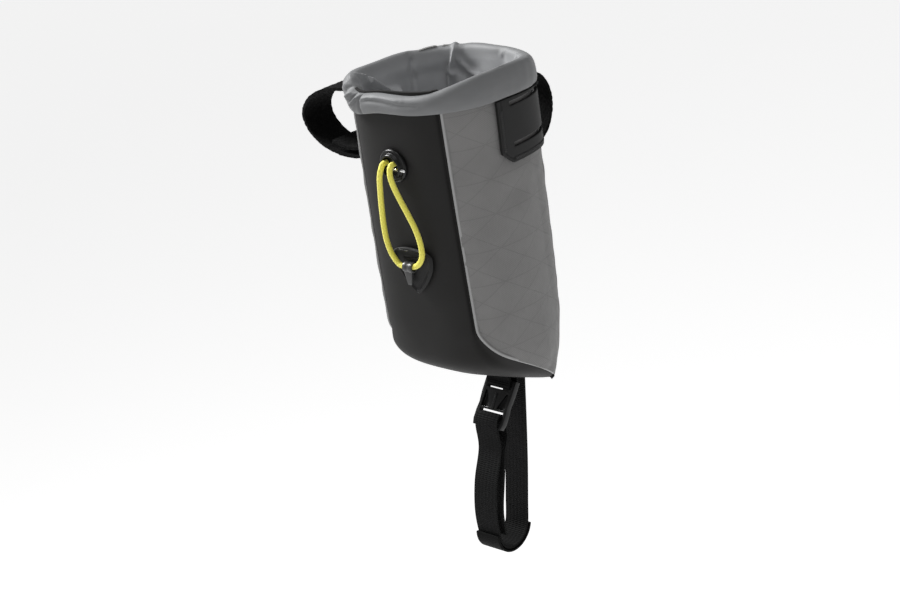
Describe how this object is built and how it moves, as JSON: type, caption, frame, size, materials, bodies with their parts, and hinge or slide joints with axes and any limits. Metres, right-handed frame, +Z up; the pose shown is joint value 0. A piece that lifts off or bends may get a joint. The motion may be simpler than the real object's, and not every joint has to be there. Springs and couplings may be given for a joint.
{
  "type": "handlebar pouch",
  "caption": "Soft open-topped pouch for a handlebar, with two hook-and-loop mounting loops, an elastic cord on the front and a buckled webbing loop underneath",
  "frame": {"origin": "middle of the strap loop that goes round the handlebar", "axes": "+Z up, front of the pouch faces -Y, +X to its right as seen from the front"},
  "size_m": [0.1411, 0.1142, 0.2734],
  "materials": {
    "black_panel": "smooth laminated black cloth",
    "grey_ripstop": "grey laminated ripstop with raised threads",
    "lining_cloth": "thin light grey nylon",
    "black_cloth": "black coated cloth",
    "hook_loop": "black loop pile",
    "webbing": "black ribbed webbing",
    "black_plastic": "black moulded plastic",
    "yellow_elastic": "yellow elastic cord",
    "pin_steel": "bright pin"
  },
  "bodies": {
    "root": {"front_panel": "black_panel", "side_panel_right": "grey_ripstop", "side_panel_left": "grey_ripstop", "back_panel": "grey_ripstop", "lining": "lining_cloth", "cuff": "lining_cloth", "patch_right": "black_cloth", "patch_left": "black_cloth", "patch_back": "black_cloth", "stem_strap": "hook_loop", "bar_strap": "hook_loop", "cord_eyelet": "black_plastic", "eyelet_pin": "pin_steel", "elastic_cord": "yellow_elastic", "keeper_patch": "black_cloth", "keeper_tab": "black_plastic", "buckle_tab": "webbing", "buckle": "black_plastic", "bottom_strap": "webbing", "strap_sleeve": "black_cloth"}
  },
  "joints": []
}
